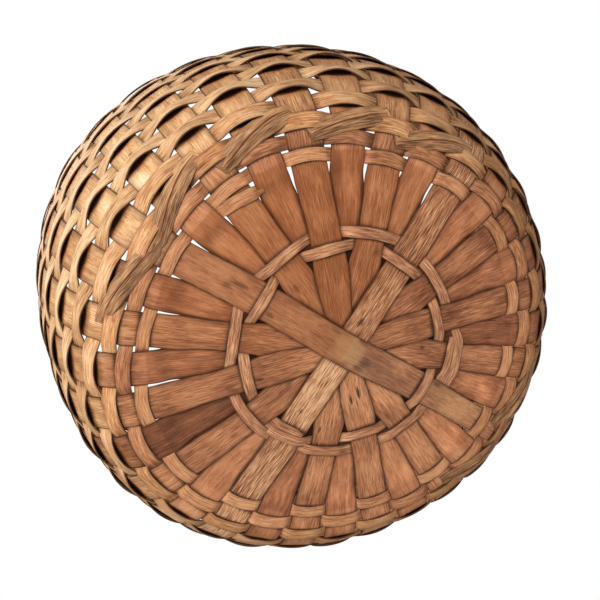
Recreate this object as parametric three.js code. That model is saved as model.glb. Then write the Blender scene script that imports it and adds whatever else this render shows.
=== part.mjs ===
// Round splint basket with a double bottom: two crossings of eight splints each turn up
// as alternating uprights, and flat weavers pass over one and under one up to a lashed rim.
// Millimetres, +Z up, the basket stands on its first weaver at z = 0.
import * as THREE from 'three';

// Splints
const splintsPerBottom = 8;
const centreWidth = 20;
const heelWidth = 22;
const wallWidth = 23.6;
const splintThickness = 1.0;
const centreThickness = 0.55;
// Order of the crossing from the outside in, as steps around the circle
const crossingOrder = [3, 7, 1, 5, 2, 4, 6, 0];

// Weavers
const weaverThickness = 0.9;
const firstRowWidth = 9;
const rowCount = 17;
const baseRows = 3;
const basePitch = 12;
const heelGap = 4.7;
const bowShare = 0.5;

// Ring that holds the first crossing together
const ringWidth = 7.9;
const ringSetback = 20.5;
const courseSpacing = 10;

// Wall: one quarter ellipse from the heel to the belly, then part of a flatter one in to the rim
const heelOverhang = 11;
const bellyFlare = 60;
const bellyHeight = 140;
const rimHeight = 203.7;
const rimTurn = 40;
const domeRise = 1.5;

// Twining strands laid beside the third row, and the uprights that they start on
const twiningWidth = 10.5;
const twiningTuckWidth = 1.8;
const twiningThickness = 0.9;
const longStrandIndex = 21;
const shortStrandIndex = 5;

// Rim
const hoopHeight = 18;
const hoopThickness = 3.2;
const hoopEdge = 1.2;
const rimGap = 3.5;
const lashingWidth = 6.5;
const lashingThickness = 0.8;

// Clearances
const clearance = 0.1;
const baseRowGap = 4.4;
const wallRowGap = 0.8;
const bendMargin = 0.5;
const levellingRun = 14;
const partingMargin = 1;

// Derived sizes
const armCount = 2 * splintsPerBottom;
const uprightCount = 2 * armCount;
const armStep = (2 * Math.PI) / armCount;
const uprightStep = (2 * Math.PI) / uprightCount;
const seatOffset = (splintThickness + weaverThickness) / 2 + clearance;
const baseLevel = seatOffset + weaverThickness / 2;
const domeLevel = baseLevel + domeRise;
const layerStep = centreThickness + clearance;
const secondLift = splintThickness + weaverThickness + 2 * clearance;

const flatRadius = centreWidth / 2 / Math.sin(armStep) + partingMargin;
const partingRadius = centreWidth / 2 / Math.sin(armStep / 2) + partingMargin;
const levelRadius = partingRadius + levellingRun;
const innerCourseRadius = partingRadius + ringSetback;
const outerCourseRadius = innerCourseRadius + courseSpacing;
const ringEndRadius = outerCourseRadius + ringWidth;
const clearRadius = (heelWidth / 2) * (1 + Math.cos(uprightStep)) / Math.sin(uprightStep)
  + partingMargin;
const firstRowRadius = (uprightCount * (heelWidth + heelGap)) / (2 * Math.PI);
const heelRadius = firstRowRadius + heelOverhang;

const bellyLevel = baseLevel + bellyHeight;
const rimAngle = THREE.MathUtils.degToRad(rimTurn);
const shoulderHeight = (rimHeight - bellyLevel) / Math.sin(rimAngle);
const wallCurve = new THREE.CurvePath();
wallCurve.add(new THREE.EllipseCurve(
  heelRadius, bellyLevel, bellyFlare, bellyHeight, -Math.PI / 2, 0));
wallCurve.add(new THREE.EllipseCurve(
  heelRadius, bellyLevel, bellyFlare, shoulderHeight, 0, rimAngle));
for (const part of wallCurve.curves) part.arcLengthDivisions = 2000;
const wallLength = wallCurve.getLength();

// The rows of the wall share the length that the base rows and the rim leave
const hoopTop = heelOverhang + wallLength;
const hoopBottom = hoopTop - hoopHeight;
const baseRun = (baseRows - 1) * basePitch;
const wallPitch = (hoopBottom - rimGap - baseRun) / (rowCount - baseRows + 0.5);
const baseWeaverWidth = basePitch - baseRowGap;
const wallWeaverWidth = wallPitch - wallRowGap;

// Distance of a row from the first one, along the middle of the wall
function rowDistance(row) {
  const onBase = Math.min(row, baseRows) - 1;
  return onBase * basePitch + (row - 1 - onBase) * wallPitch;
}

// Point of the wall's middle surface (x is the radius, y the height)
function wallPoint(distance) {
  if (distance <= heelOverhang) {
    return new THREE.Vector2(firstRowRadius + distance, baseLevel);
  }
  return wallCurve.getPoint(Math.min((distance - heelOverhang) / wallLength, 1));
}

// The uprights are straight between these distances: one row each at the heel, then two
const singleRows = 5;
const bends = [-basePitch / 2];
for (let row = 1; row <= rowCount; row += 1) {
  const paired = row > singleRows && (row - singleRows) % 2 === 1 && row < rowCount;
  if (!paired) {
    const next = row < rowCount ? rowDistance(row + 1) : rowDistance(row) + wallPitch;
    bends.push((rowDistance(row) + next) / 2);
  }
}
bends.push(hoopTop);
const bendPoints = bends.map(wallPoint);

// Place, direction and outward normal of the straight stretch that holds a distance
function wallFrame(distance) {
  let index = 0;
  while (index < bends.length - 2 && distance > bends[index + 1]) index += 1;
  const from = bendPoints[index];
  const to = bendPoints[index + 1];
  const share = (distance - bends[index]) / (bends[index + 1] - bends[index]);
  const along = to.clone().sub(from).normalize();
  const outward = new THREE.Vector2(along.y, -along.x);
  return { point: from.clone().lerp(to, share), along, outward };
}

// Width of an upright at a distance from the first row
function uprightWidth(distance) {
  const grown = THREE.MathUtils.clamp(distance / rowDistance(baseRows + 1), 0, 1);
  return THREE.MathUtils.lerp(heelWidth, wallWidth, grown);
}

// A flat strip from cross-sections: each has a centre and two half vectors
function ribbon(sections, closed) {
  const positions = [];
  for (const { centre, across, through } of sections) {
    for (const [a, b] of [[-1, -1], [1, -1], [1, 1], [-1, 1]]) {
      const corner = centre.clone().addScaledVector(across, a).addScaledVector(through, b);
      positions.push(corner);
    }
  }
  const faces = [];
  const count = sections.length;
  const last = closed ? count : count - 1;
  for (let i = 0; i < last; i += 1) {
    const here = 4 * i;
    const next = 4 * ((i + 1) % count);
    for (let side = 0; side < 4; side += 1) {
      const turn = (side + 1) % 4;
      faces.push([here + side, here + turn, next + turn]);
      faces.push([here + side, next + turn, next + side]);
    }
  }
  if (!closed) {
    const end = 4 * (count - 1);
    faces.push([0, 3, 2], [0, 2, 1]);
    faces.push([end, end + 1, end + 2], [end, end + 2, end + 3]);
  }
  return solid(positions, faces);
}

// A closed surface turned so that its faces point out
function solid(points, faces) {
  let volume = 0;
  for (const [a, b, c] of faces) {
    volume += points[a].dot(points[b].clone().cross(points[c]));
  }
  const ordered = volume < 0 ? faces.map(([a, b, c]) => [a, c, b]) : faces;
  const geometry = new THREE.BufferGeometry();
  const flat = points.flatMap((point) => point.toArray());
  geometry.setAttribute('position', new THREE.Float32BufferAttribute(flat, 3));
  geometry.setIndex(ordered.flat());
  geometry.computeVertexNormals();
  return geometry;
}

// Frame of one upright at a distance: origin on its middle surface, three unit vectors
function uprightFrame(index, distance) {
  const { point, along, outward } = wallFrame(distance);
  const turn = index * uprightStep;
  const radial = new THREE.Vector3(Math.cos(turn), Math.sin(turn), 0);
  const up = new THREE.Vector3(0, 0, 1);
  const lift = (flat) => radial.clone().multiplyScalar(flat.x).addScaledVector(up, flat.y);
  return {
    origin: lift(point),
    along: lift(along),
    outward: lift(outward),
    sideways: new THREE.Vector3(-Math.sin(turn), Math.cos(turn), 0),
  };
}

// Cross-section of a strip in an upright's frame
function stripSection(frame, side, offset, rise, width, thickness) {
  const centre = frame.origin.clone()
    .addScaledVector(frame.sideways, side)
    .addScaledVector(frame.outward, offset)
    .addScaledVector(frame.along, rise);
  return {
    centre,
    across: frame.along.clone().multiplyScalar(width / 2),
    through: frame.outward.clone().multiplyScalar(thickness / 2),
  };
}

const basket = new THREE.Group();
basket.name = 'harvest_basket';

function addPiece(name, geometry, colour, roughness) {
  const material = new THREE.MeshStandardMaterial({ color: colour, roughness, metalness: 0 });
  const piece = new THREE.Mesh(geometry, material);
  piece.name = name;
  basket.add(piece);
  return piece;
}

// Splints: each runs from the rim down one side, across the bottom and up the other side

// Half of a splint's path as radius, height, width and thickness, from the centre to the rim
function splintPath(layer, second) {
  const stack = second
    ? splintsPerBottom * layerStep - secondLift + layer * layerStep
    : layer * layerStep;
  const level = second ? domeLevel + secondLift : domeLevel;
  const partedShare = 0.6;
  const path = [
    [0, level + stack, centreWidth, centreThickness],
    [flatRadius, level + stack, centreWidth, centreThickness],
    [partingRadius, level + stack * partedShare, centreWidth, centreThickness],
    [levelRadius, level, centreWidth, splintThickness],
  ];
  const dropRadius = second ? clearRadius : ringEndRadius;
  const dropShare = (dropRadius - levelRadius) / (firstRowRadius - levelRadius);
  const dropWidth = THREE.MathUtils.lerp(centreWidth, heelWidth, dropShare);
  path.push([dropRadius, level, dropWidth, splintThickness]);
  bends.forEach((distance, i) => {
    const width = uprightWidth(distance);
    path.push([bendPoints[i].x, bendPoints[i].y, width, splintThickness]);
  });
  return path;
}

function splintGeometry(layer, second) {
  const half = splintPath(layer, second);
  const mirrored = half.slice(1).reverse().map(([radius, ...rest]) => [-radius, ...rest]);
  const path = [...mirrored, ...half];
  const points = path.map(([radius, height]) => new THREE.Vector2(radius, height));
  const sections = path.map(([radius, height, width, thickness], i) => {
    const before = points[Math.max(i - 1, 0)];
    const after = points[Math.min(i + 1, points.length - 1)];
    const into = points[i].clone().sub(before).normalize();
    const out = after.clone().sub(points[i]).normalize();
    const along = into.add(out).normalize();
    const leg = i > 0 ? points[i].clone().sub(before) : after.clone().sub(points[i]);
    const mitre = 1 / along.dot(leg.normalize());
    return {
      centre: new THREE.Vector3(radius, 0, height),
      across: new THREE.Vector3(0, width / 2, 0),
      through: new THREE.Vector3(along.y, 0, -along.x).multiplyScalar((thickness / 2) * mitre),
    };
  });
  return ribbon(sections, false);
}

crossingOrder.forEach((step, layer) => {
  const primary = addPiece(
    `primary_splint_${layer + 1}`, splintGeometry(layer, false), '#a86c3c', 0.55);
  primary.rotation.z = step * armStep;
  const secondary = addPiece(
    `secondary_splint_${layer + 1}`, splintGeometry(layer, true), '#9c6236', 0.6);
  secondary.rotation.z = (step + 0.5) * armStep;
});

// Ring: two narrow courses over one and under one of the first crossing's arms
function ringCourse(radius, outsideFirst) {
  const halfWidth = THREE.MathUtils.lerp(centreWidth, heelWidth,
    (radius - levelRadius) / (firstRowRadius - levelRadius)) / 2;
  const sections = [];
  for (let arm = 0; arm < armCount; arm += 1) {
    const outside = (arm % 2 === 0) === outsideFirst;
    const height = domeLevel + (outside ? -seatOffset : seatOffset);
    const turn = arm * armStep;
    const radial = new THREE.Vector3(Math.cos(turn), Math.sin(turn), 0);
    const sideways = new THREE.Vector3(-Math.sin(turn), Math.cos(turn), 0);
    for (const side of [-halfWidth, halfWidth]) {
      const centre = radial.clone().multiplyScalar(radius).addScaledVector(sideways, side);
      centre.z = height;
      sections.push({
        centre,
        across: radial.clone().multiplyScalar(ringWidth / 2),
        through: new THREE.Vector3(0, 0, weaverThickness / 2),
      });
    }
  }
  return ribbon(sections, true);
}

addPiece('inner_ring_course', ringCourse(innerCourseRadius, false), '#96592f', 0.5);
addPiece('outer_ring_course', ringCourse(outerCourseRadius, true), '#96592f', 0.5);

// Weaver rows

// How far a strip stands off its uprights where it bows, so that it clears their edges
function bowOffsets(radius, outward, halfWidth) {
  const near = halfWidth * bowShare;
  const lean = outward.x * Math.sin(uprightStep);
  const turned = 1 - outward.x * outward.x * (1 - Math.cos(uprightStep));
  const sag = radius * outward.x * (1 - Math.cos(uprightStep));
  const span = radius * Math.sin(uprightStep);
  let over = seatOffset;
  let under = seatOffset;
  const rounds = 20;
  for (let i = 0; i < rounds; i += 1) {
    const fall = over + sag + under * turned;
    over = seatOffset + ((halfWidth - near) * fall) / (span - near - under * lean);
    const climb = under - sag + over * turned + near * lean;
    const reach = span - near * Math.cos(uprightStep) + over * lean;
    under = seatOffset + (halfWidth * Math.max(climb, 0)) / reach;
  }
  return { over, under };
}

function weaverWidth(row) {
  if (row === 1) return firstRowWidth;
  return row <= baseRows ? baseWeaverWidth : wallWeaverWidth;
}

function weaverRow(row) {
  const distance = rowDistance(row);
  const width = weaverWidth(row);
  const halfWidth = uprightWidth(distance + width / 2) / 2;
  const onBase = row <= baseRows;
  const { point, along, outward } = wallFrame(distance);
  const narrowest = point.x - (Math.abs(along.x) * width) / 2;
  const bow = bowOffsets(narrowest, outward, halfWidth);
  const sections = [];
  for (let index = 0; index < uprightCount; index += 1) {
    const frame = uprightFrame(index, distance);
    const over = (index + row) % 2 === 1;
    const add = (side, offset) => {
      sections.push(stripSection(frame, side, offset, 0, width, weaverThickness));
    };
    if (onBase) {
      add(-halfWidth, over ? seatOffset : -seatOffset);
      add(halfWidth, over ? seatOffset : -seatOffset);
    } else if (over) {
      add(-halfWidth * bowShare, bow.over);
      add(halfWidth * bowShare, bow.over);
    } else {
      add(0, -bow.under);
    }
  }
  return ribbon(sections, true);
}

const firstWallColour = new THREE.Color('#a5683a');
const lastWallColour = new THREE.Color('#c28f55');
for (let row = 1; row <= rowCount; row += 1) {
  const colour = firstWallColour.clone().lerp(lastWallColour, (row - 1) / (rowCount - 1));
  addPiece(`weaver_row_${String(row).padStart(2, '0')}`, weaverRow(row), colour, 0.5);
}

// Twining strands: beside the third row, outside the second bottom's uprights.
// Each slant is one upright that the strand crosses: 1 climbs towards the rim, -1 falls.
function twiningStrand(firstUpright, slants) {
  const distance = rowDistance(baseRows);
  const low = -basePitch / 2;
  const high = (baseWeaverWidth + wallPitch) / 4 - bendMargin / 2;
  const halfWidth = uprightWidth(distance + high) / 2;
  const halfSpan = wallFrame(distance).point.x * Math.tan(uprightStep / 2);
  const seat = (splintThickness + twiningThickness) / 2 + clearance;
  const crown = seat + twiningThickness;
  const leanShare = 0.25;
  const sections = [];
  const add = (index, side, offset, rise, width) => {
    const frame = uprightFrame(index, distance);
    sections.push(stripSection(frame, side, offset, rise, width, twiningThickness));
  };
  const behind = (index, fromRise, toRise) => {
    add(index, -halfWidth, -crown, fromRise, twiningTuckWidth);
    add(index, 0, -crown, 0, twiningTuckWidth);
    add(index, halfWidth, -crown, toRise, twiningTuckWidth);
  };
  const startOf = (slant) => (slant > 0 ? low : high);
  const endOf = (slant) => (slant > 0 ? high : low);
  behind(firstUpright - 1, startOf(slants[0]), startOf(slants[0]));
  slants.forEach((slant, i) => {
    const index = firstUpright + 2 * i;
    const start = startOf(slant);
    const end = endOf(slant);
    add(index, -halfSpan, 0, start, twiningTuckWidth);
    add(index, -halfWidth, seat, start, twiningTuckWidth);
    add(index, -halfWidth / 2, crown, start * leanShare, twiningWidth);
    add(index, halfWidth / 2, crown, end * leanShare, twiningWidth);
    add(index, halfWidth, seat, end, twiningTuckWidth);
    add(index, halfSpan, 0, end, twiningTuckWidth);
    behind(index + 1, end, i + 1 < slants.length ? startOf(slants[i + 1]) : end);
  });
  return ribbon(sections, false);
}

addPiece('long_twining_strand', twiningStrand(longStrandIndex, [-1, 1, 1, 1, 1]), '#7d5230', 0.65);
addPiece('short_twining_strand', twiningStrand(shortStrandIndex, [-1, -1]), '#7d5230', 0.65);

// Rim: a hoop on each side of the upright ends, lashed together through every gap
const rimFrame = wallFrame(hoopTop);
const hoopFace = splintThickness / 2 + clearance;
const hoopBack = hoopFace + hoopThickness;

// Corner of a hoop between two uprights; the hoop is flat across each upright
function rimCorner(offset, distance, turn) {
  const flat = rimFrame.point.clone()
    .addScaledVector(rimFrame.along, distance - hoopTop)
    .addScaledVector(rimFrame.outward, offset);
  const radius = flat.x / Math.cos(uprightStep / 2);
  return new THREE.Vector3(radius * Math.cos(turn), radius * Math.sin(turn), flat.y);
}

function hoop(side) {
  const profile = [
    [hoopFace, hoopBottom],
    [hoopBack - hoopEdge, hoopBottom],
    [hoopBack, hoopBottom + 2 * hoopEdge],
    [hoopBack, hoopTop - 2 * hoopEdge],
    [hoopBack - hoopEdge, hoopTop],
    [hoopFace, hoopTop],
  ];
  const points = [];
  const faces = [];
  for (let index = 0; index < uprightCount; index += 1) {
    const turn = (index + 0.5) * uprightStep;
    for (const [offset, distance] of profile) {
      points.push(rimCorner(side * offset, distance, turn));
    }
    const here = profile.length * index;
    const next = profile.length * ((index + 1) % uprightCount);
    for (let i = 0; i < profile.length; i += 1) {
      const j = (i + 1) % profile.length;
      faces.push([here + i, here + j, next + j], [here + i, next + j, next + i]);
    }
  }
  return solid(points, faces);
}

addPiece('outer_rim_hoop', hoop(1), '#a8713f', 0.5);
addPiece('inner_rim_hoop', hoop(-1), '#a8713f', 0.5);

function lashing() {
  const stand = clearance + lashingThickness / 2;
  const halfSpan = rimFrame.point.x * Math.tan(uprightStep / 2);
  const threaded = lashingWidth / 2 + clearance - halfSpan;
  const corners = [
    { out: -1, end: -1, side: threaded },
    { out: 1, end: -1, side: threaded },
    { out: 1, end: 1, side: 0 },
    { out: -1, end: 1, side: 0 },
  ];
  const sections = [];
  for (let index = 0; index < uprightCount; index += 1) {
    for (const { out, end, side } of corners) {
      const frame = uprightFrame(index, end > 0 ? hoopTop : hoopBottom);
      const corner = frame.outward.clone().multiplyScalar(out).addScaledVector(frame.along, end);
      const centre = frame.origin.clone()
        .addScaledVector(frame.sideways, side)
        .addScaledVector(frame.outward, out * hoopBack)
        .addScaledVector(corner, stand);
      sections.push({
        centre,
        across: frame.sideways.clone().multiplyScalar(lashingWidth / 2),
        through: corner.multiplyScalar(lashingThickness / 2),
      });
    }
  }
  return ribbon(sections, true);
}

addPiece('rim_lashing', lashing(), '#b58550', 0.55);

export default basket;
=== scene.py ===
import bpy
import math
from mathutils import Matrix, Vector, noise


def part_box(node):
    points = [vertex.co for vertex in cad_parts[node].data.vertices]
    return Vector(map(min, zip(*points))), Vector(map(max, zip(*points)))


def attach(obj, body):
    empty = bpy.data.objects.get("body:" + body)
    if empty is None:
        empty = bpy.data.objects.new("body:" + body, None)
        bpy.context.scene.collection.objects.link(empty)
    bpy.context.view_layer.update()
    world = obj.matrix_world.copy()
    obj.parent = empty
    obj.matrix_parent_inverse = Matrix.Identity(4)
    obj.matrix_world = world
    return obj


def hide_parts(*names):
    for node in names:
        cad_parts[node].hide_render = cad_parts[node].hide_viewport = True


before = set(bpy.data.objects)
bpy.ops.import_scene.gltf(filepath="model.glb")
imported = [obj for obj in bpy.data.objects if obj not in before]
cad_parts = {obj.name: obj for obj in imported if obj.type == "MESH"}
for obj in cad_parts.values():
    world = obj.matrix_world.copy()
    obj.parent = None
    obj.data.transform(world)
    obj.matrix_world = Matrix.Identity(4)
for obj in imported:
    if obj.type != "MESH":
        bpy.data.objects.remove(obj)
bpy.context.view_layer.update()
mm = 0.001

# The basket as one woven form, in millimetres and degrees
basket = {
    "uprights": 32,
    "rows": 17,
    "baseRows": 3,
    "firstRowWidth": 9.0,
    "heelRun": 11.0,          # flat run outside the first row
    "flare": 60.0,            # how far the belly stands out past the heel
    "bellyHeight": 140.0,
    "rimHeight": 203.7,
    "sample": 0.5,            # between the points of the section
    "rimTurn": 40.0,          # how far the wall has turned in at the rim
    "level": 1.9,             # middle of the wall's thickness on the bottom
    "basePitch": 10.65,
    "zigzag": 1.6,            # the first rows swing out where they pass outside
    "rimGap": 3.5,
    "hoopHeight": 18.0,
}
basket["firstRadius"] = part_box("weaver_row_01")[1].x / mm - basket["firstRowWidth"] / 2
step = 360 / basket["uprights"]
armStep = 2 * step            # between the arms of one crossing
print("frame loaded, first row radius", round(basket["firstRadius"], 2))

# Slight unevenness of handwork: cosine and sine parts of one wave around, of two and so on
uneven = {
    "bottom": ((-0.008, 0.001), (-0.002, 0.002), (-0.016, -0.002)),
    "belly": ((-0.005, -0.013), (-0.005, 0.002), (0.018, 0.002)),
    "turn": ((0.85, -0.24), (0.65, -0.37)),
    "rows": ((-0.6, -1.2), (1.4, 1.7), (0.7, -0.5), (2.3, 0.3), (0.6, -0.5)),   # first rows' wander, mm
    "crossing": (0.7, 6.0),   # the crossing and the ring sit a little off the middle
    "ring": (1.8, 2.8),
    "ringRadius": 74,
    "fade": (84, 136),        # radii between which that fades out
}
shadedSide = 56               # basket angle that the light reaches least


def waves(parts, angle):
    turn = math.radians(angle)
    return sum(c * math.cos((k + 1) * turn) + s * math.sin((k + 1) * turn)
               for k, (c, s) in enumerate(parts))


def smooth(low, high, value):
    share = min(max((value - low) / (high - low), 0), 1)
    return share * share * (3 - 2 * share)


def blend(a, b, share):
    return a + (b - a) * share


def ripple(x, y, z=0.0):
    return noise.noise(Vector((x, y, z)))


# The wall's section as points at even distances, after the flat heel run
def wallSection():
    heel = basket["firstRadius"] + basket["heelRun"]
    belly = basket["level"] + basket["bellyHeight"]
    shoulder = (basket["rimHeight"] - belly) / math.sin(math.radians(basket["rimTurn"]))
    points, turn, height = [], -math.pi / 2, 0.0
    while height < basket["rimHeight"]:
        tall = basket["bellyHeight"] if turn < 0 else shoulder
        height = belly + tall * math.sin(turn)
        slope = (-basket["flare"] * math.sin(turn), tall * math.cos(turn))
        size = math.hypot(*slope)
        points.append((heel + basket["flare"] * math.cos(turn), height, slope[0] / size, slope[1] / size))
        turn += basket["sample"] / size
    return points


section = wallSection()
rimTop = basket["heelRun"] + basket["sample"] * (len(section) - 1)
baseRun = (basket["baseRows"] - 1) * basket["basePitch"]
wallRun = rimTop - basket["hoopHeight"] - basket["rimGap"] - baseRun
wallPitch = wallRun / (basket["rows"] - basket["baseRows"] + 0.5)


def rowAt(row):
    return min((row - 1) * basket["basePitch"], baseRun) + max(row - basket["baseRows"], 0) * wallPitch


# A row's distance from the first one at an angle; the first rows wander
def rowPlace(row, angle):
    return rowAt(row) + waves(uneven["rows"], angle) * (1 - smooth(3, 7, row))


# Share of one from the shaded side of the basket to the side that the light reaches
def litSide(angle):
    return ((1 - math.cos(math.radians(angle - shadedSide))) / 2) ** 1.3


# Radius, height and direction of the wall at a distance from the first row
def wallAt(distance):
    if distance <= basket["heelRun"]:
        return basket["firstRadius"] + distance, basket["level"], 1.0, 0.0
    place = (distance - basket["heelRun"]) / basket["sample"]
    index = min(int(place), len(section) - 2)
    share = place - index
    return tuple(blend(a, b, share) for a, b in zip(section[index], section[index + 1]))


def drift(radius):
    left = 1 - smooth(*uneven["fade"], radius)
    outward = smooth(0, uneven["ringRadius"], radius)
    return [blend(a, b, outward) * left for a, b in zip(uneven["crossing"], uneven["ring"])]


# A point of the real, slightly uneven basket from its even radius, angle and height.
# All points of an arm share the arm's own reach and turn.
def settle(radius, angle, height, arm=None, turn=None):
    arm = angle if arm is None else arm
    turn = waves(uneven["turn"], angle) if turn is None else turn
    lift = min(max(height / (basket["level"] + basket["bellyHeight"]), 0), 1)
    reach = blend(waves(uneven["bottom"], arm), waves(uneven["belly"], arm), lift)
    turned = math.radians(angle + turn)
    grown = radius * (1 + reach)
    driftX, driftY = drift(radius)
    return Vector((grown * math.cos(turned) + driftX, grown * math.sin(turned) + driftY, height)) * mm


def linear(hexColour):
    parts = [int(hexColour[i:i + 2], 16) / 255 for i in (1, 3, 5)]
    return [p / 12.92 if p <= 0.04045 else ((p + 0.055) / 1.055) ** 2.4 for p in parts] + [1.0]


def emptyTree(owner):
    owner.use_nodes = True
    owner.node_tree.nodes.clear()
    return owner.node_tree


def addNode(tree, kind, settings=None, links=None):
    node = tree.nodes.new(kind)
    for key, value in (settings or {}).items():
        if isinstance(key, str) and hasattr(node, key):
            setattr(node, key, value)
        else:
            node.inputs[key].default_value = value
    for key, source in (links or {}).items():
        tree.links.new(source, node.inputs[key])
    return node


# Camera: below the basket, a little to one side, as the picture was taken
cameraPlace = {
    "picture": 600,           # pixels, across and down
    "sensor": 36,
    "focal": 700.0,           # pixels
    "tilt": 22.93,            # of the basket's axis from the line of sight
    "near": 226.51,           # picture direction towards which the axis leans
    "depth": 495.1,
    "centre": (342.7, 346.5),
    "nearAngle": 262.69,      # basket angle that points along that direction
}


def cameraMatrix():
    tilt, near = math.radians(cameraPlace["tilt"]), math.radians(cameraPlace["near"])
    axis = Vector((math.sin(tilt) * math.cos(near), math.sin(tilt) * math.sin(near), math.cos(tilt)))
    lean = Vector((math.cos(near), math.sin(near), 0))
    along = (lean - axis * lean.dot(axis)).normalized()
    across = axis.cross(along)
    angle = math.radians(cameraPlace["nearAngle"])
    first = Vector((math.cos(angle), math.sin(angle), 0))
    second = Vector((-math.sin(angle), math.cos(angle), 0))

    def toBasket(v):
        return first * v.dot(along) + second * v.dot(across) + Vector((0, 0, v.dot(axis)))

    middle = cameraPlace["picture"] / 2
    base = Vector([(at - middle) / cameraPlace["focal"] for at in cameraPlace["centre"]] + [1])
    right, up, back = (toBasket(Vector(v)) for v in ((1, 0, 0), (0, -1, 0), (0, 0, -1)))
    place = Matrix((right, up, back)).transposed().to_4x4()
    place.translation = toBasket(base * -cameraPlace["depth"]) * mm
    return place


bpy.ops.object.select_all(action="DESELECT")
bpy.ops.object.camera_add()
camera = bpy.context.object
camera.name = "photo_camera"
camera.matrix_world = cameraMatrix()
camera.data.sensor_width = cameraPlace["sensor"]
camera.data.lens = cameraPlace["focal"] / cameraPlace["picture"] * cameraPlace["sensor"]
camera.data.clip_start, camera.data.clip_end = 0.01, 50
bpy.context.scene.camera = camera
print("camera placed")


# Light: soft lamps placed in the picture's own directions, right, up and towards the camera
lamps = {
    "key_softbox": {"from": (-0.92, 0.05, 0.68), "distance": 1.3, "size": 0.5, "watts": 8.4},
    "front_fill": {"from": (-0.25, 0.3, 1.0), "distance": 1.5, "size": 0.7, "watts": 19.9},
    "low_fill": {"from": (0.2, -0.7, 0.7), "distance": 1.5, "size": 1.2, "watts": 4.8},
}
overhead = {"from": (-0.25, -0.35, 1), "distance": 1.6, "size": 1.2, "watts": 32.0}  # the basket's axes
aim = Vector((0, 0, 0.09))    # where the lamps look


def addLamp(name, direction, settings):
    bpy.ops.object.light_add(type="AREA", location=aim + direction * settings["distance"])
    lamp = bpy.context.object
    lamp.name = name
    lamp.data.shape = "DISK"
    lamp.data.size = settings["size"]
    lamp.data.energy = settings["watts"]
    lamp.rotation_euler = direction.to_track_quat("Z", "Y").to_euler()


turnToBasket = camera.matrix_world.to_3x3()
for lampName, settings in lamps.items():
    addLamp(lampName, (turnToBasket @ Vector(settings["from"])).normalized(), settings)
addLamp("overhead_softbox", Vector(overhead["from"]).normalized(), overhead)

worldLight = {"seen": "#ffffff", "ambient": 0.24}
world = bpy.data.worlds.new("studio_white")
bpy.context.scene.world = world
tree = emptyTree(world)
ray = addNode(tree, "ShaderNodeLightPath")
seen = addNode(tree, "ShaderNodeMath", {"operation": "MAXIMUM"},
               {0: ray.outputs["Is Camera Ray"], 1: ray.outputs["Is Glossy Ray"]})
seen = addNode(tree, "ShaderNodeMath", {"operation": "MAXIMUM"},
               {0: seen.outputs[0], 1: ray.outputs["Is Transmission Ray"]})
level = addNode(tree, "ShaderNodeMapRange", {"To Min": worldLight["ambient"], "To Max": 1.0},
                {"Value": seen.outputs[0]})
sky = addNode(tree, "ShaderNodeBackground", {"Color": linear(worldLight["seen"])},
              {"Strength": level.outputs[0]})
addNode(tree, "ShaderNodeOutputWorld", links={"Surface": sky.outputs[0]})
bpy.context.scene.view_settings.view_transform = "Standard"

# Floor: pale and matt from above; the camera below it looks through its underside
bpy.ops.mesh.primitive_plane_add(size=6)
floor = bpy.context.object
floor.name = "studio_floor"
floor.visible_shadow = floor.visible_diffuse = floor.visible_glossy = False
paper = bpy.data.materials.new("white_backdrop_paper")  # matt, shows only the basket's soft shadow
tree = emptyTree(paper)
facing = addNode(tree, "ShaderNodeNewGeometry")
matt = addNode(tree, "ShaderNodeBsdfDiffuse", {"Color": linear("#f4f3f1")})
clear = addNode(tree, "ShaderNodeBsdfTransparent")
both = addNode(tree, "ShaderNodeMixShader", None,
               {0: facing.outputs["Backfacing"], 1: matt.outputs[0], 2: clear.outputs[0]})
addNode(tree, "ShaderNodeOutputMaterial", links={"Surface": both.outputs[0]})
floor.data.materials.append(paper)
print("light and floor placed")


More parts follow.
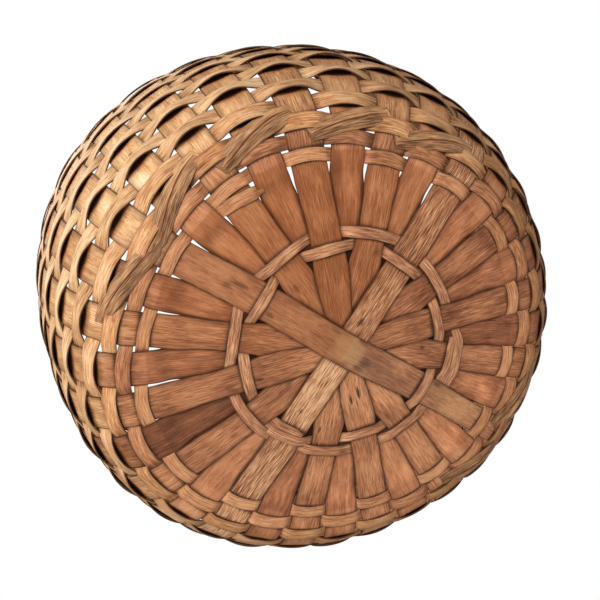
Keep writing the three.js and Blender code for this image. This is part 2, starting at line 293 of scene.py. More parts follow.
# Woods. Each splint carries its own length and width in metres as UV, and a colour of finish and painted
# light:
# red is nearness to an edge, darkened there partly as painted shade; green the tone of this splint, with
# painted light and shade added in places; blue dirt, alpha rubbed wear. Three more values: how golden it is,
# more so up the wall and, as painted light, on the side that the light reaches; gloom, painted shade in the
# dark behind a row, behind the ring and in the strands' creases, which also reddens one side of the bottom;
# under, painted shade beside whatever lies over it.
wallGold = ("#70472f", "#a87c53", "#c89d6e", "#e3c29a")
woods = {
    "bottom_splint": {       # old ash, shaved and handled: orange brown, dull, dark in the pores
        "colours": ("#5c3522", "#8d583c", "#b47a54", "#cd966c"), "gold": wallGold,
        "grain": (20, 0.7, 0.35), "streaks": 0.36, "mottle": 0.6, "rough": 0.64, "gloss": 0.12,
        "edgeShade": 0.45, "bump": 0.06},
    "handled_splint": {      # the outermost one, greyed and polished by hands and ground
        "colours": ("#573524", "#8d5b3f", "#b37b56", "#cb976e"), "gold": wallGold,
        "grain": (10, 0.8, 0.3), "streaks": 0.15, "mottle": 0.65, "rough": 0.6, "gloss": 0.24,
        "edgeShade": 0.4, "speck": 0.5},
    "open_grain_splint": {   # faster grown ash with wide dark pores
        "colours": ("#4d2c1d", "#88583d", "#b67d59", "#d8ab80"), "gold": wallGold,
        "grain": (10, 0.7, 0.9), "streaks": 0.6, "mottle": 0.3, "rough": 0.68, "gloss": 0.12,
        "edgeShade": 0.15, "speck": 1.2, "bump": 0.1},
    "inner_splint": {        # the second layer, smoother and kept from light: orange to red brown
        "colours": ("#5a3422", "#8e573c", "#b87a54", "#d09870"), "gold": wallGold,
        "grain": (26, 0.7, 0.25), "streaks": 0.2, "mottle": 0.6, "rough": 0.62, "gloss": 0.1,
        "edgeShade": 0.45, "speck": 0.4, "bump": 0.06},
    "ring_splint": {         # narrow shaved ash, brown with clear long lines
        "colours": ("#583320", "#8b573b", "#b17a55", "#d3a378"),
        "grain": (12, 0.9, 0.8), "streaks": 0.4, "mottle": 0.45, "rough": 0.56, "gloss": 0.26},
    "base_weaver": {         # the rows that wear on the ground, brown and smooth
        "colours": ("#5a341f", "#8b5638", "#b07750", "#cb9567"),
        "grain": (10, 0.9, 0.6), "streaks": 0.3, "mottle": 0.5, "rough": 0.56, "gloss": 0.24},
    "wall_weaver": {         # clean split ash: golden and nearly matt
        "colours": ("#5a3521", "#8f5c3b", "#b37d53", "#d0a072"),
        "gold": ("#704730", "#a77d56", "#c79f73", "#e2c49f"),
        "grain": (24, 0.65, 0.55), "streaks": 0.4, "mottle": 0.7, "rough": 0.66, "gloss": 0.03,
        "speck": 0.8, "bump": 0.03},
    "twining_splint": {      # twisted green and dried: fibrous, brown, split along its length
        "colours": ("#472c1a", "#855c3d", "#ab7f57", "#cda377"),
        "grain": (22, 0.7, 0.35), "streaks": 0.25, "mottle": 0.35, "rough": 0.6, "gloss": 0.2, "speck": 0.9},
    "rim_hoop": {            # riven ash hoop, shaved half round
        "colours": ("#6e4325", "#a06a3b", "#be8850", "#d6a76c"),
        "grain": (30, 1.0, 0.6), "streaks": 0.45, "mottle": 0.4, "rough": 0.52, "gloss": 0.3},
    "rim_lashing": {         # thin inner splint, pale
        "colours": ("#7b4d29", "#b07b46", "#cb995f", "#e2ba82"),
        "grain": (26, 0.9, 0.6), "streaks": 0.35, "mottle": 0.4, "rough": 0.48, "gloss": 0.3},
}

# Smudges by wood: splint, along from the middle, sideways, length, width, strength
smudges = {
    "handled_splint": (
        (0, 20, 2, 7, 4.5, 0.5), (0, 15, 8, 6, 2.5, 0.45), (0, -15, -9, 6, 2.5, 0.6), (0, -62, 6, 5, 2, 0.7),
        (0, -92, -3, 9, 2.5, 0.8), (0, -98, 2, 5, 2, 0.6), (0, 82, -8, 5, 2, 0.6)),
    "open_grain_splint": (
        (1, -22, 2, 5, 3.5, 0.9), (1, -26, -4, 4, 2, 0.6), (1, 56, 2, 3, 1.6, 0.8), (1, 76, 3, 3, 2, 0.9)),
    "bottom_splint": (
        (3, 39, -3, 7, 1.8, 0.95), (3, 43, 3.5, 6, 1.6, 0.9), (3, 47, -0.5, 4, 1.2, 0.6),
        (2, -64, 5, 4, 2, 0.7), (4, 60, -5, 3, 1.5, 0.7), (5, -58, 4, 5, 2, 0.6), (6, 66, 7, 4, 2, 0.7),
        (7, -45, -4, 6, 3, 0.5), (6, -70, -6, 3, 2, 0.6)),
}


def splintSeed(number, second):
    return number * 3.7 + (31.3 if second else 0)


# Where a point of a bottom splint lies in its own UV, in metres
def splintUv(number, second, run, side):
    seed = splintSeed(number, second)
    return (run + seed * 137) * mm, side * mm + seed


def makeWood(name, look):
    wood = bpy.data.materials.new(name)
    tree = emptyTree(wood)
    uv = addNode(tree, "ShaderNodeUVMap", {"uv_map": "splint"})
    finishAndLight = addNode(tree, "ShaderNodeAttribute", {"attribute_name": "finishAndLight"})
    parts = addNode(tree, "ShaderNodeSeparateColor", None, {"Color": finishAndLight.outputs["Color"]})
    edge, tone, dirt = parts.outputs
    rubbed = finishAndLight.outputs["Alpha"]

    # Noise drawn out along the splint; its lengths are in millimetres
    def pattern(along, across, detail, seed=0.0):
        scaled = addNode(tree, "ShaderNodeMapping", {
            "Location": (seed, seed * 0.7, 0), "Scale": (1 / (along * mm), 1 / (across * mm), 1)},
            {"Vector": uv.outputs["UV"]})
        return addNode(tree, "ShaderNodeTexNoise",
                       {"noise_dimensions": "2D", "Scale": 1.0, "Detail": detail, "Roughness": 0.65},
                       {"Vector": scaled.outputs[0]}).outputs["Fac"]

    along, across, strength = look["grain"]
    fine = pattern(along, across, 2.0)
    broad = pattern(150, 4.0, 1.0, 3.1)
    cloud = pattern(26, 13, 3.0, 7.7)
    lines = pattern(30, 0.55, 1.0, 12.3)
    pores = pattern(5, 0.9, 2.0, 15.1)
    spots = pattern(2.4, 1.4, 2.0, 21.9)
    specks = pattern(11, 0.75, 1.0, 33.7)

    def sums(value, share, rest):
        scaled = addNode(tree, "ShaderNodeMath",
                         {"operation": "MULTIPLY_ADD", 1: share, 2: -0.5 * share}, {0: value})
        return addNode(tree, "ShaderNodeMath", {"operation": "ADD"},
                       {0: scaled.outputs[0], 1: rest}).outputs[0]

    shade = sums(fine, strength, tone)
    shade = sums(broad, 0.25, shade)
    shade = sums(specks, look.get("speck", 0.7), shade)
    shade = sums(cloud, look["mottle"], shade)

    def palette(hexColours):
        found = addNode(tree, "ShaderNodeValToRGB", None, {"Fac": shade})
        stops = found.color_ramp.elements
        while len(stops) < len(hexColours):
            stops.new(0.5)
        for stop, place, hexColour in zip(stops, (0.08, 0.34, 0.56, 0.86), hexColours):
            stop.position, stop.color = place, linear(hexColour)
        return found.outputs["Color"]

    colour = palette(look["colours"])
    if "gold" in look:        # cleaner and more golden where it climbs the wall, and, as painted light, more golden on the side that the light reaches
        climb = addNode(tree, "ShaderNodeAttribute", {"attribute_name": "climb"})
        colour = addNode(tree, "ShaderNodeMix", {"data_type": "RGBA"},
                         {0: climb.outputs["Fac"], 6: colour, 7: palette(look["gold"])}).outputs[2]

    # Mixes a colour in by a factor: grain, dirt and wear, and painted shade as well
    def mixedTowards(colour, factor, low, high, top, tint):
        amount = addNode(tree, "ShaderNodeMapRange", {
            "interpolation_type": "SMOOTHSTEP", "From Min": low, "From Max": high, "To Max": top},
            {"Value": factor}).outputs[0]
        return addNode(tree, "ShaderNodeMix", {"data_type": "RGBA", 7: linear(tint)},
                       {0: amount, 6: colour}).outputs[2]

    deep, pale = look["colours"][0], look["colours"][3]
    colour = mixedTowards(colour, lines, 0.57, 0.68, look["streaks"], deep)            # long dark lines
    colour = mixedTowards(colour, lines, 0.42, 0.3, 0.7 * look["streaks"], pale)       # and pale ones
    colour = mixedTowards(colour, pores, 0.64, 0.74, 0.6, deep)                        # open pores
    colour = mixedTowards(colour, spots, 0.72, 0.79, 0.7, "#33201a")                   # dark specks
    colour = mixedTowards(colour, edge, 0.5, 1.0, look.get("edgeShade", 0.3), deep)         # painted shade, darker towards the edges
    cutEdgeAndShade = addNode(tree, "ShaderNodeMath", {"operation": "MULTIPLY_ADD", 1: 0.2}, {0: fine, 2: edge})
    colour = mixedTowards(colour, cutEdgeAndShade.outputs[0], 1.0, 1.1, 0.85, "#2c180d")          # dark cut edges, partly painted shade between parts
    patchy = addNode(tree, "ShaderNodeMapRange", {"From Min": 0.3, "From Max": 0.62, "To Min": 0.35},
                     {"Value": cloud})
    ground = addNode(tree, "ShaderNodeMath", {"operation": "MULTIPLY"}, {0: dirt, 1: patchy.outputs[0]})
    colour = mixedTowards(colour, ground.outputs[0], 0.05, 0.9, 0.8, "#573a2a")        # ground in dirt
    bare = sums(cloud, 0.5, rubbed)
    colour = mixedTowards(colour, bare, 0.05, 1.1, 0.5, "#b28a5c")                     # rubbed bare
    for number, run, side, length, width, weight in smudges.get(name, ()):
        apart = addNode(tree, "ShaderNodeVectorMath",
                        {"operation": "SUBTRACT", 1: (*splintUv(number, False, run, side), 0)},
                        {0: uv.outputs["UV"]})
        apart = addNode(tree, "ShaderNodeVectorMath",
                        {"operation": "MULTIPLY", 1: (1 / (length * mm), 1 / (width * mm), 0)},
                        {0: apart.outputs[0]})
        apart = addNode(tree, "ShaderNodeVectorMath", {"operation": "LENGTH"}, {0: apart.outputs[0]})
        ragged = sums(fine, 1.6, apart.outputs["Value"])
        colour = mixedTowards(colour, ragged, 1.0, 0.35, weight, "#2c221d")
    gloom = addNode(tree, "ShaderNodeAttribute", {"attribute_name": "gloom"}).outputs["Fac"]
    colour = mixedTowards(colour, gloom, 0.0, 0.3, 0.6, "#9a5524")                     # painted shade: reddened beside the dark
    colour = mixedTowards(colour, gloom, 0.1, 0.8, 0.95, "#34211a")                    # painted shade in the dark
    under = addNode(tree, "ShaderNodeAttribute", {"attribute_name": "under"}).outputs["Fac"]
    colour = mixedTowards(colour, under, 0.0, 1.1, 0.85, "#2b180e")                    # painted shade under an edge

    bumpHeight = sums(lines, -0.8, fine)
    bump = addNode(tree, "ShaderNodeBump", {"Strength": look.get("bump", 0.3), "Distance": 0.25 * mm},
                   {"Height": bumpHeight})
    rough = addNode(tree, "ShaderNodeMapRange",
                    {"To Min": look["rough"] - 0.08, "To Max": look["rough"] + 0.12}, {"Value": fine})
    rough = addNode(tree, "ShaderNodeMath", {"operation": "MULTIPLY_ADD", 1: 0.4, "use_clamp": True},
                    {0: gloom, 2: rough.outputs[0]})
    shader = addNode(tree, "ShaderNodeBsdfPrincipled",
                     {"IOR": 1.46, "Specular IOR Level": look["gloss"]},
                     {"Base Color": colour, "Roughness": rough.outputs[0], "Normal": bump.outputs[0]})
    addNode(tree, "ShaderNodeOutputMaterial", links={"Surface": shader.outputs[0]})
    return wood


finishes = {name: makeWood(name, look) for name, look in woods.items()}
print("woods made", len(finishes))


# Places, UV, finish and painted light for every vertex of a mesh
def dress(mesh, places, spread, looks):
    mesh.vertices.foreach_set("co", [v for place in places for v in place])
    colours = mesh.color_attributes.new("finishAndLight", "FLOAT_COLOR", "POINT")
    colours.data.foreach_set("color", [v for look in looks for v in look[:4]])
    for place, extra in ((4, "climb"), (5, "gloom"), (6, "under")):
        values = mesh.attributes.new(extra, "FLOAT", "POINT")
        values.data.foreach_set("value", [look[place] if len(look) > place else 0.0 for look in looks])
    layer = mesh.uv_layers[0]
    layer.name = "splint"
    layer.data.foreach_set("uv", [v for loop in mesh.loops for v in spread[loop.vertex_index]])
    mesh.update()


heart = Vector((0, 0, 0.12))               # a place inside, that every outer face looks away from
bevelAngle, smoothAngle = math.radians(55), math.radians(50)


# A flat strip: a grid laid along a path, then given its thickness and softened edges.
# The path gives, for a share along it and a share across it, place, UV in metres, finish with painted light
# and shade, and thinness.
def makeStrip(name, cuts, path, thickness, edge, wood, nodes):
    bpy.ops.object.select_all(action="DESELECT")
    bpy.ops.mesh.primitive_grid_add(x_subdivisions=cuts[0], y_subdivisions=cuts[1], size=1)
    piece = bpy.context.object
    piece.name = name
    mesh = piece.data
    places, spread, looks, thins = zip(*[path(vert.co.x + 0.5, vert.co.y * 2) for vert in mesh.vertices])
    dress(mesh, places, spread, looks)
    thinness = piece.vertex_groups.new(name="thinness")
    for index, thin in enumerate(thins):
        thinness.add([index], thin, "REPLACE")
    body = piece.modifiers.new("body", "SOLIDIFY")
    body.thickness, body.offset = thickness * mm, 0
    body.vertex_group, body.thickness_vertex_group = "thinness", 0
    bevel = piece.modifiers.new("edges", "BEVEL")
    bevel.width, bevel.segments = edge * mm, 2
    bevel.limit_method, bevel.angle_limit = "ANGLE", bevelAngle
    for modifier in ("body", "edges"):
        bpy.ops.object.modifier_apply(modifier=modifier)
    bpy.ops.object.shade_smooth_by_angle(angle=smoothAngle)
    for extra in ("gloom", "under"):        # the painted shade goes on the outside faces only
        values = mesh.attributes[extra].data
        for vert in mesh.vertices:
            if vert.normal.dot(vert.co - heart) < 0:
                values[vert.index].value = 0.0
    mesh.materials.append(finishes[wood])
    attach(piece, "root")
    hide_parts(*nodes)


# Splints: each crosses the bottom and climbs both sides to the rim
splints = {
    "order": (3, 7, 1, 5, 2, 4, 6, 0),      # from the outside in, in steps around the circle
    "centreWidth": (24.0, 23.2, 21.0, 21.6, 20.6, 21.4, 21.0, 20.8),
    "secondWidth": (20.6, 21.0, 20.4, 21.4, 20.8, 21.2, 20.5, 22.4),
    "petal": 24.2,                           # width at the widest place inside the ring
    "heelWidth": 23.8,
    "wallWidth": 25.8,
    "thickness": 1.0,
    "centreShare": 0.55,                     # of the thickness, where all cross
    "dome": 1.5,                             # rise of the bottom inside the first row
    "layer": 0.65,                           # height of one splint in the crossing
    "secondLift": 2.1,                       # of the inner crossing's arms above the outer ones
    "tone": ((0.46, 0.47), (0.52, 0.44), (0.38, 0.44), (0.54, 0.37),         # of each splint's two arms
             (0.39, 0.46), (0.53, 0.51), (0.46, 0.43), (0.37, 0.46)),
    "secondTone": ((0.53, 0.53), (0.62, 0.52), (0.30, 0.37), (0.47, 0.43),
                   (0.46, 0.38), (0.58, 0.42), (0.42, 0.56), (0.38, 0.20)),
    "wood": {0: "handled_splint", 1: "open_grain_splint"},
    "cuts": (440, 14),
    "edge": 0.22,
}

# Ring: two narrow courses around the crossing, with their ends lapped
ring = {
    "width": 7.9,
    "thickness": 0.9,
    "courses": {
        "inner_ring_course": {"radius": 73.1, "first": armStep, "start": 150, "lap": 30, "lapOut": 6.0},
        "outer_ring_course": {"radius": 83.2, "first": 0.0, "start": 34, "lap": 34, "lapOut": 6.2},
    },
    "over": 1.75, "under": 1.2, "square": 2.6,
    "beside": (72, 84),                      # radii just inside and just outside it
    "cuts": (420, 5),
    "edge": 0.2,
}


def ringMiddle(course, angle):
    phase = (angle - course["first"]) / armStep
    return course["radius"] + 1.6 * ripple(angle * 0.035, course["radius"]) - 0.9 * math.cos(math.pi * phase)


# Strands twined round the third row: first upright that each passes over, and its slants
strands = {
    "long_twining_strand": {"first": 21, "slants": (-1, 1, 1, 1, 1)},
    "short_twining_strand": {"first": 5, "slants": (-1, -1)},
}

# Soft dirt on single arms: basket angle, distance from the centre, sideways, length, width, strength
marks = (
    (247.5, 16, 0, 22, 12, 0.4), (67.5, 26, 0, 26, 13, 0.6), (67.5, 62, 4, 24, 8, 0.35),
    (292.5, 58, 3, 14, 5, 0.5), (213.75, 100, 0, 16, 5, 0.5), (191.25, 112, 0, 30, 13, 0.35),
    (326.25, 110, 2, 20, 8, 0.4), (303.75, 122, -7, 17, 4.5, 0.85), (292.5, 110, 8, 18, 4, 0.7),
    (33.75, 118, 0, 14, 9, 0.5), (112.5, 118, 6, 18, 4, 0.5), (258.75, 206, 1, 2.6, 2.2, 1.6),
)
# Worn and pale places, in the same way
rubs = ((112.5, 92, 4, 4, 3, 0.5), (67.5, 104, 0, 34, 14, 0.6))
# Painted highlights on the wall's uprights, in the same way, added to the tone
glints = ((247.5, 196, 2, 9, 8, 0.26), (258.75, 182, -6, 7, 6, 0.24), (236.25, 200, 4, 8, 7, 0.16))


def markAt(found, arm, far, side):
    total = 0.0
    for angle, place, over, length, width, strength in found:
        if abs((angle - arm + 180) % 360 - 180) < 1:
            reach = math.hypot((far - place) / length, (side - over) / width)
            reach += 0.25 * ripple(far * 0.25, side * 0.6)
            total = max(total, strength * (1 - smooth(0.45, 1.15, reach)))
    return total


crossed = len(splints["order"])


def splintTurn(number, second):
    return splints["order"][number] * armStep + (step if second else 0)


def splintWide(number, second, run):
    far, first = abs(run), basket["firstRadius"]
    width = (splints["secondWidth"] if second else splints["centreWidth"])[number]
    if number == 0 and not second:          # the outermost one tapers to one end
        wide = blend(width, 20.5 if run > 0 else 24.6, smooth(55, 100, far))
    elif number == 1 and not second:
        wide = blend(width, 24.6, smooth(45, 92, far))
    elif second:
        more = 4.2 if number == 7 else 1.8  # wider on the shaded side
        if splintTurn(number, True) + (0 if run >= 0 else 180) >= 200:
            more = 0
        wide = blend(width, splints["heelWidth"] + more, smooth(55, 116, far))
    else:                                   # shaped like a petal inside the ring
        wide = blend(18.0, splints["petal"], smooth(14, 56, far))
        wide = blend(wide, width, smooth(58, 78, far))
        wide = blend(wide, splints["heelWidth"], smooth(92, 122, far))
    return blend(wide, splints["wallWidth"], smooth(first, first + 60, far))


def zigzag(row, angle):
    return basket["zigzag"] * blend(1.2, 0.5, litSide(angle)) * (1 - smooth(2, 5, row))


# Painted shade on a bottom splint beside the edges of whatever lies outside it
def paintedEdgeShade(number, second, run, side, arm):
    turn, far, near = math.radians(splintTurn(number, second)), abs(run), 9.0
    x = run * math.cos(turn) - side * math.sin(turn)
    y = run * math.sin(turn) + side * math.cos(turn)
    outer = [(n, False) for n in range(crossed if second else number)]
    outer += [(n, True) for n in range(number if second else 0)]
    for other in outer if far < basket["firstRadius"] - 4 else ():
        over = math.radians(splintTurn(*other))
        away = abs(y * math.cos(over) - x * math.sin(over))
        if away < 16:
            near = min(near, away - splintWide(*other, x * math.cos(over) + y * math.sin(over)) / 2)
    if not second:
        for course in ring["courses"].values():
            if round((arm - course["first"]) / armStep) % 2 == 0:
                near = min(near, abs(far - ringMiddle(course, arm)) - ring["width"] / 2)
    for row in range(1, 5):
        if (round(arm / step) + row + 1) % 2 == 0:
            middle = basket["firstRadius"] + rowPlace(row, arm) + zigzag(row, arm)
            near = min(near, 1.15 * (abs(far - middle) - (4.5 if row == 1 else 4.8)))
    depth = 1 - min(max((near + 0.3) / 4.2, 0), 1)
    shadow = 0.0                            # painted shadow: the strands keep the arm below them dark
    covered = [(strand["first"] + 2 * k) % basket["uprights"]
               for strand in strands.values() for k in range(len(strand["slants"]))]
    if round(arm / step) % basket["uprights"] in covered:
        before = basket["firstRadius"] + rowPlace(basket["baseRows"], arm) - 4 - far
        shadow = (1 - smooth(0, 10, before)) * (1 - smooth(0, 6, -before))
    return max(depth ** 2, 0.75 * shadow)


def splintPath(number, second):
    turn = splintTurn(number, second)
    first = basket["firstRadius"]
    half = first + rimTop
    level = basket["level"] + splints["dome"] + (splints["secondLift"] if second else 0)
    stack = number * splints["layer"] + (crossed * splints["layer"] - splints["secondLift"] if second else 0)
    tones = (splints["secondTone"] if second else splints["tone"])[number]
    seed = splintSeed(number, second)
    dropStart, dropEnd = 118 if second else 92, first - 5

    def path(share, across):
        run = (share * 2 - 1) * half
        far = abs(run)
        distance = far - first
        arm = turn if run >= 0 else turn + 180
        swing = smooth(-22, 22, run)
        lean = blend(waves(uneven["turn"], turn + 180), waves(uneven["turn"], turn), swing)
        wide = splintWide(number, second, run)
        wide *= 1 + 0.035 * ripple(far * 0.02, seed + (0 if run >= 0 else 50))
        ragged = 0.45 * ripple(run * 0.09, seed + across * 2) * abs(across)
        side = across * wide / 2 + ragged * across
        if far <= first - 4:
            height = level + stack * (1 - smooth(24, 66, far))
            height = blend(height, basket["level"], smooth(dropStart, dropEnd, far))
            height += 0.25 * ripple(run * 0.03, seed + 9) * smooth(40, 90, far)
            height += 0.22 * (across * across - 0.5) * ripple(run * 0.012, seed + 17)
            radius, outX, outZ = far, 0.0, -1.0
        else:
            radius, height, goR, goZ = wallAt(distance)
            outX, outZ = goZ, -goR
        # Pressed in under the rows that pass outside, and out by those inside
        index = round((arm / step) % basket["uprights"])
        offset, gloom = 0.0, 0.0
        if distance > -6:
            row = 1 + distance / basket["basePitch"]
            if distance >= baseRun:
                row = basket["baseRows"] + (distance - baseRun) / wallPitch
            held = 1 - smooth(basket["rows"] + 0.2, basket["rows"] + 1, row)
            offset -= 0.35 * math.cos(math.pi * (index + row + 1)) * held
            offset += 0.5 * ripple(distance * 0.03, seed + 5, arm) * smooth(30, 90, distance)
            nearest = min(max(round(row), 1), basket["rows"])
            nearest += (index + nearest + 1) % 2                    # the next one that passes outside it
            if basket["baseRows"] < nearest <= basket["rows"]:
                # Painted shade on the upright under the bow of the next row that passes outside it
                past = distance - rowPlace(nearest, arm)
                near = 6.0 * across * across
                gloom = max(0.22 * smooth(near - 13, near - 6.5, past),     # reddened, then dark
                            smooth(near - 7.8, near - 3.8, past))
                gloom *= 1 - smooth(5.5, 7.0, past)
                gloom *= 1 - smooth(0.75, 1.0, abs(across))
        direction = 1 if run >= 0 else -1
        sideways = side * direction
        reach = radius + offset * outX
        wrapped = blend(math.hypot(reach, sideways), reach, max(outX, 0))
        angle = arm + math.degrees(math.atan2(sideways, reach))
        place = settle(wrapped, angle, height + offset * outZ, arm, lean)
        tint = markAt(marks, arm % 360, far, sideways)
        rub = markAt(rubs, arm % 360, far, sideways)
        if number == 0 and not second:      # rubbed over the crossing below it
            edge = math.hypot(run / 14.5, side / 13) + 0.4 * ripple(run * 0.13, side * 0.13)
            rub = max(rub, 1 - smooth(0.45, 1.3, edge))
        toneAndLight = blend(*tones, 1 - swing) + 0.08 * ripple(run * 0.012, seed + 2)
        # painted highlights
        toneAndLight += markAt(glints, arm % 360, far, sideways)
        if far < first:                     # painted light and shade: paler between the ring and the rows, where it stands out, darker towards both
            inside, outside = ring["beside"]
            bow = (far - outside) / (first - outside) if far > outside else far / inside
            toneAndLight += 0.1 * (math.sin(math.pi * min(max(bow, 0), 1)) - 0.95)
            inner = {(0, False): -0.05, (1, False): 0.15 if run > 0 else 0.03}.get((number, second), 0)
            toneAndLight += inner * (1 - smooth(60, 80, far))
            gloom = 0.17 * max(math.cos(math.radians(arm - 280)), 0)    # redder on one side
        # painted shade beside whatever lies over it
        under = paintedEdgeShade(number, second, run, side, arm) if distance < 45 else 0.0
        if second:                          # painted shade in the dark behind the ring
            gloom = max(gloom, 0.9 * (1 - smooth(69, 81, far)))
            under = max(under, 1 - smooth(77, 91, far))
        # more golden up the wall and, as painted light, on the side that the light reaches
        goldenLit = smooth(9, 42, distance) * blend(0.1, 1, litSide(arm))
        look = (abs(across), toneAndLight, tint, rub, goldenLit, gloom, under)
        thin = blend(splints["centreShare"], 1.0, smooth(40, 70, far))
        return place, splintUv(number, second, run, side), look, thin

    return path


for number in range(crossed):
    makeStrip(f"bottom_splint_{number + 1}", splints["cuts"], splintPath(number, False), splints["thickness"],
              splints["edge"], splints["wood"].get(number, "bottom_splint"),
              [f"primary_splint_{number + 1}"])
    makeStrip(f"inner_splint_{number + 1}", splints["cuts"], splintPath(number, True), splints["thickness"],
              splints["edge"], "inner_splint", [f"secondary_splint_{number + 1}"])
print("splints laid")


# A wave over one and under one: flat enough to clear the edges of what it crosses
def woven(phase, over, under, square):
    rise = math.cos(math.pi * phase)
    rise = math.tanh(square * rise) / math.tanh(square)
    return (over + under) / 2 * rise + (over - under) / 2 * rise * rise


def ringPath(course):
    seed = course["radius"]
    sweep = 360 + course["lap"]

    def path(share, across):
        angle = course["start"] + share * sweep
        phase = (angle - course["first"]) / armStep
        out = woven(phase, ring["over"], ring["under"], ring["square"])
        lapped = smooth(360 - 14, 360 + 4, share * sweep)
        middle = ringMiddle(course, angle) + course["lapOut"] * lapped
        wide = ring["width"] * (1 + 0.12 * ripple(angle * 0.05, seed + 3))
        tip = 1 - 0.5 * smooth(0.985, 1, share) - 0.5 * (1 - smooth(0, 0.015, share))
        radius = middle + across * wide * tip / 2
        lift = basket["level"] + splints["dome"] - out + 0.35 * across * max(math.cos(math.pi * phase), 0)
        place = settle(radius, angle, lift)
        # painted shade beside the arms that lie over it
        beside = abs(radius * math.sin(math.radians((angle + step) % armStep - step))) - 10.6
        under = (1 - min(max((beside + 0.3) / 4, 0), 1)) ** 2 if math.cos(math.pi * round(phase)) < 0 else 0
        tone = 0.47 + 0.14 * ripple(angle * 0.06, seed + 8)
        look = (abs(across), tone, 0.12 * max(ripple(angle * 0.09, seed), 0), 0, 0, 0, under)
        uv = (math.radians(angle) * course["radius"] + seed * 31) * mm, across * wide / 2 * mm
        return place, uv, look, 1.0

    return path


for name, course in ring["courses"].items():
    makeStrip(name.replace("course", "splint"), ring["cuts"], ringPath(course), ring["thickness"],
              ring["edge"], "ring_splint", [name])
print("ring laid")


# Weaver rows: one long strip each, its ends lapped or scarfed
weavers = {
    "width": 13.3,
    "heelWidth": 9.6,
    "thickness": 0.9,
    "over": (1.25, 4.0),       # on the bottom and on the wall
    "under": (1.2, 2.4),
    "seat": 1.1,               # least distance from an upright's middle at its edges
    "lean": 2.9,               # the slack lower edge stands off further while the wall widens
    "leanBy": (1.5, 0.12),     # share of it by the wall's slope, and where the wall is upright
    "slack": (0.4, 1.05),      # share of standing off, from the side in shade to the lit one
    "slackTurn": 30,           # from the middle of the lit side to the slackest place
    "tighter": 2.4,            # how much less the upper rows stand off
    "tucked": 2.8,             # how far an upper edge reaches up behind the next row's bow
    "lap": 20.0,
    "wobble": 0.45,
    "starts": (258, 31, 170, 75, 350, 118, 20, 300, 64,      # basket angle where each row begins
               140, 95, 10, 330, 52, 200, 128, 280),
    "cuts": (640, 6),
    "edge": 0.22,
}


def weaverPath(row):
    distance = rowAt(row)
    radius = wallAt(distance)[0]
    onWall = smooth(2, 5, row)
    slope, upright = weavers["leanBy"]
    lean = weavers["lean"] * onWall * min(max(slope * wallAt(distance)[2] + upright, -0.5), 1)
    over, under = (blend(*weavers[key], onWall) for key in ("over", "under"))
    over -= weavers["tighter"] * smooth(5, 11, row)
    half = blend(splints["heelWidth"], splints["wallWidth"], smooth(0, 60, distance)) / 2
    clear = math.cos(math.pi * half / (math.radians(step) * radius))
    square = 0.4
    while under * math.tanh(square * clear) / math.tanh(square) < weavers["seat"] and square < 7:
        square += 0.2
    wide = basket["firstRowWidth"] if row == 1 else blend(weavers["heelWidth"], weavers["width"], onWall)
    sweep = 360 + weavers["lap"]
    start = weavers["starts"][row - 1]
    seed = row * 5.3

    def path(share, across):
        angle = start + share * sweep
        phase = angle / step + row + 1
        rise = math.cos(math.pi * phase)
        crossing = round(phase)
        uneasy = 1 + 0.16 * ripple(crossing * 1.7, seed)
        slackest = litSide(angle - weavers["slackTurn"]) ** 1.7
        slack = blend(1, blend(*weavers["slack"], slackest), onWall)
        out = woven(phase, over * uneasy * slack, under, square)
        lapped = smooth(360 - 6, 360 + 4, share * sweep)
        began = 1 - smooth(weavers["lap"] - 4, weavers["lap"] + 6, share * sweep)
        if row > basket["baseRows"]:
            out += lapped * math.copysign(min(abs(rise) * 4, 1), rise) * (weavers["thickness"] + 0.1)
        elif row > 1:                       # scarfed, each end half as thick
            out += (lapped - began) * weavers["thickness"] / 4 * math.copysign(min(abs(rise) * 4, 1), rise)
        room = max(over * uneasy * slack - 0.7, 0)
        tilt = min(max(lean * slack, -room), room)
        out -= across * tilt * max(rise, 0)
        shift = weavers["wobble"] * (ripple(angle * 0.02, seed) + 0.6 * ripple(angle * 0.07, seed + 4))
        shift += zigzag(row, angle) * rise * (1 if rise > 0 else 0.5)
        if row == 1:
            shift -= 11 * smooth(352, 376, share * sweep)      # its loose end runs inwards
            out -= 0.8 * lapped * max(-rise, 0)
        local = wide * (1 + 0.06 * ripple(angle * 0.03, seed + 6))
        tip = 1 - 0.4 * smooth(0.99, 1, share) - 0.4 * (1 - smooth(0, 0.01, share))
        lift = weavers["tucked"] * max(across, 0) * math.sqrt(max(-rise, 0)) * smooth(5, 7, row)
        reach, height, goR, goZ = wallAt(rowPlace(row, angle) + shift + across * local * tip / 2 + lift)
        out = min(out, (height - 0.55) / max(goR, 0.05))      # nothing hangs below the standing plane
        place = settle(reach + out * goZ, angle, height - out * goR)
        # painted light and shade: lighter where it bows outside, darker where it passes in under the uprights
        tone = 0.5 + 0.16 * ripple(angle * 0.02, seed + 1) + 0.08 * max(rise, 0) - 0.14 * max(-rise, 0)
        tone += 0.06 * math.sin(row * 2.1) + 0.12 * ripple(crossing * 3.1, seed + 7)
        if row < 3:                         # browner towards one side
            tone -= 0.12 * max(math.cos(math.radians(angle - 318)), 0) ** 2
        # more golden up the wall and, as painted light, on the side that the light reaches
        goldenLit = blend(0.1, 1, litSide(angle)) * smooth(2.4, 6, row)
        rim = abs(across) * (1 if across < 0 else blend(1, 0.7, onWall))    # its upper edge lies flush, so less painted edge shade there
        look = (rim, tone, 0.15 * max(ripple(angle * 0.05, seed + 11), 0), 0, goldenLit)
        thin = 1 - 0.5 * max(lapped, began) if 1 < row <= basket["baseRows"] else 1.0
        uv = (math.radians(angle) * radius + seed * 211) * mm, across * local / 2 * mm
        return place, uv, look, thin

    return path


